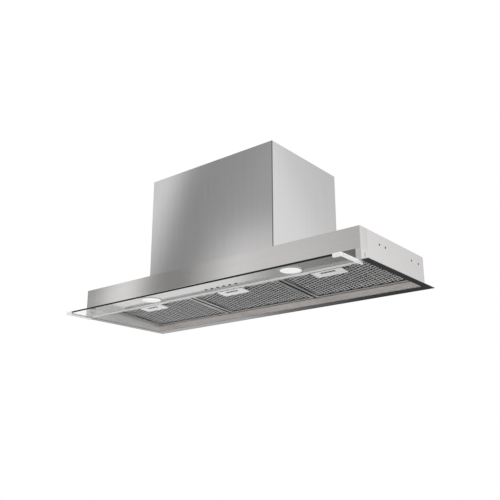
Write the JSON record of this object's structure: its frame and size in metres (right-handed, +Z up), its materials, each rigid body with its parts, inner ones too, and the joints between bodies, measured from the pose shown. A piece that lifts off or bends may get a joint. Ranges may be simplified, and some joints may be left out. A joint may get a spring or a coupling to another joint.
{
  "type": "built-in cooker hood",
  "caption": "Under-cabinet cooker hood with a low steel canopy, swing-down filters, push buttons, round lamps, a slide-out glass visor, and a blower box with a flapped round duct collar.",
  "frame": {"origin": "on the upper face of the rear edge flange at mid width, the face that seats against the underside of the wall cabinet; 8.8 mm in front of the flange's rear edge", "axes": "+X to the right along the width as seen from the room, +Y from the front panel to the wall, +Z up"},
  "size_m": [0.8916, 0.3743, 0.3856],
  "materials": {
    "panel_steel": "fine brushed grain along the width",
    "canopy_steel": "satin folded sheet",
    "flange_steel": "satin sheet",
    "strip_steel": "satin folded sheet",
    "housing_steel": "brushed upright grain",
    "rail_steel": "bare zinc sheet",
    "filter_frame_metal": "bare rolled",
    "filter_mesh_metal": "expanded mesh",
    "latch_metal": "bright pressed plate",
    "visor_glass": "clear float glass, ground edges",
    "visor_trim": "fine grained light grey",
    "guide_plastic": "white, fine grained",
    "button_black": "black, fine grained",
    "bezel_metal": "bright ring",
    "lamp_lens": "frosted",
    "lamp_case": "cast, finned",
    "collar_plastic": "black moulded",
    "flap_plastic": "dark grey moulded",
    "axle_steel": "drawn rod",
    "gland_plastic": "black moulded",
    "scroll_plastic": "dark grey moulded",
    "wheel_plastic": "dark grey moulded",
    "motor_steel": "grey paint",
    "bracket_steel": "zinc plated",
    "screw_steel": "zinc plated",
    "capacitor_plastic": "grey plastic",
    "box_plastic": "dark grey moulded",
    "block_plastic": "ivory plastic",
    "driver_plastic": "white plastic",
    "switch_box_plastic": "black moulded",
    "board_green": "coated board",
    "switch_body": "black moulded"
  },
  "bodies": {
    "hood": {"cable_gland": "gland_plastic", "canopy_shell": "canopy_steel", "capacitor": "capacitor_plastic", "control_board": "board_green", "control_strip": "strip_steel", "corner_post_left": "canopy_steel", "corner_post_right": "canopy_steel", "duct_collar": "collar_plastic", "filter_front_rail": "rail_steel", "filter_rear_rail": "rail_steel", "flap_axle": "axle_steel", "front_panel": "panel_steel", "housing_rear": "housing_steel", "housing_top": "housing_steel", "housing_wrap": "housing_steel", "inlet_ring": "scroll_plastic", "lamp_bezel_left": "bezel_metal", "lamp_bezel_right": "bezel_metal", "lamp_case_left": "lamp_case", "lamp_case_right": "lamp_case", "lamp_lens_left": "lamp_lens", "lamp_lens_right": "lamp_lens", "led_driver": "driver_plastic", "motor": "motor_steel", "motor_bracket": "bracket_steel", "motor_screws": "screw_steel", "mounting_flange": "flange_steel", "push_switches": "switch_body", "scroll_left": "scroll_plastic", "scroll_right": "scroll_plastic", "sheet_screws": "screw_steel", "switch_box": "switch_box_plastic", "terminal_block": "block_plastic", "terminal_box": "box_plastic", "visor_guide_left": "guide_plastic", "visor_guide_right": "guide_plastic"},
    "flap_left": {"flap_left": "flap_plastic"},
    "flap_right": {"flap_right": "flap_plastic"},
    "fan": {"impeller": "wheel_plastic", "motor_shaft": "axle_steel"},
    "visor": {"visor_glass": "visor_glass", "visor_arm_left": "visor_trim", "visor_arm_right": "visor_trim", "visor_corner_left": "visor_trim", "visor_corner_right": "visor_trim"},
    "button_1": {"button_1": "button_black"},
    "button_2": {"button_2": "button_black"},
    "button_3": {"button_3": "button_black"},
    "button_4": {"button_4": "button_black"},
    "button_5": {"button_5": "button_black"},
    "button_6": {"button_6": "button_black"},
    "filter_1": {"filter_frame_1": "filter_frame_metal", "filter_mesh_1": "filter_mesh_metal"},
    "latch_1": {"filter_latch_1": "latch_metal"},
    "filter_2": {"filter_frame_2": "filter_frame_metal", "filter_mesh_2": "filter_mesh_metal"},
    "latch_2": {"filter_latch_2": "latch_metal"},
    "filter_3": {"filter_frame_3": "filter_frame_metal", "filter_mesh_3": "filter_mesh_metal"},
    "latch_3": {"filter_latch_3": "latch_metal"}
  },
  "joints": [
    {"name": "visor_slide", "type": "slide", "parent": "hood", "child": "visor", "axis": [0, 1, 0], "range_m": [0, 0.066]},
    {"name": "filter_1_swing", "type": "hinge", "parent": "hood", "child": "filter_1", "pos_m": [-0.28267, -0.0234, 0.01588], "axis": [1, 0, 0], "range_deg": [0, 70]},
    {"name": "latch_1_slide", "type": "slide", "parent": "filter_1", "child": "latch_1", "axis": [0, 0.9971, -0.0767], "range_m": [0, 0.005], "stiffness_N_per_m": 500, "springref_m": -0.003},
    {"name": "filter_2_swing", "type": "hinge", "parent": "hood", "child": "filter_2", "pos_m": [0, -0.0234, 0.01588], "axis": [1, 0, 0], "range_deg": [0, 70]},
    {"name": "latch_2_slide", "type": "slide", "parent": "filter_2", "child": "latch_2", "axis": [0, 0.9971, -0.0767], "range_m": [0, 0.005], "stiffness_N_per_m": 500, "springref_m": -0.003},
    {"name": "filter_3_swing", "type": "hinge", "parent": "hood", "child": "filter_3", "pos_m": [0.28267, -0.0234, 0.01588], "axis": [1, 0, 0], "range_deg": [0, 70]},
    {"name": "latch_3_slide", "type": "slide", "parent": "filter_3", "child": "latch_3", "axis": [0, 0.9971, -0.0767], "range_m": [0, 0.005], "stiffness_N_per_m": 500, "springref_m": -0.003},
    {"name": "button_1_press", "type": "slide", "parent": "hood", "child": "button_1", "axis": [0, 0, 1], "range_m": [0, 0.002], "stiffness_N_per_m": 400, "springref_m": -0.0015},
    {"name": "button_2_press", "type": "slide", "parent": "hood", "child": "button_2", "axis": [0, 0, 1], "range_m": [0, 0.002], "stiffness_N_per_m": 400, "springref_m": -0.0015},
    {"name": "button_3_press", "type": "slide", "parent": "hood", "child": "button_3", "axis": [0, 0, 1], "range_m": [0, 0.002], "stiffness_N_per_m": 400, "springref_m": -0.0015},
    {"name": "button_4_press", "type": "slide", "parent": "hood", "child": "button_4", "axis": [0, 0, 1], "range_m": [0, 0.002], "stiffness_N_per_m": 400, "springref_m": -0.0015},
    {"name": "button_5_press", "type": "slide", "parent": "hood", "child": "button_5", "axis": [0, 0, 1], "range_m": [0, 0.002], "stiffness_N_per_m": 400, "springref_m": -0.0015},
    {"name": "button_6_press", "type": "slide", "parent": "hood", "child": "button_6", "axis": [0, 0, 1], "range_m": [0, 0.002], "stiffness_N_per_m": 400, "springref_m": -0.0015},
    {"name": "fan_spin", "type": "hinge", "parent": "hood", "child": "fan", "pos_m": [0, -0.1151, 0.1764], "axis": [1, 0, 0], "continuous": true},
    {"name": "flap_left_swing", "type": "hinge", "parent": "hood", "child": "flap_left", "pos_m": [0, -0.1451, 0.3584], "axis": [0, 1, 0], "range_deg": [0, 80]},
    {"name": "flap_right_swing", "type": "hinge", "parent": "hood", "child": "flap_right", "pos_m": [0, -0.1451, 0.3584], "axis": [0, -1, 0], "range_deg": [0, 80]}
  ]
}
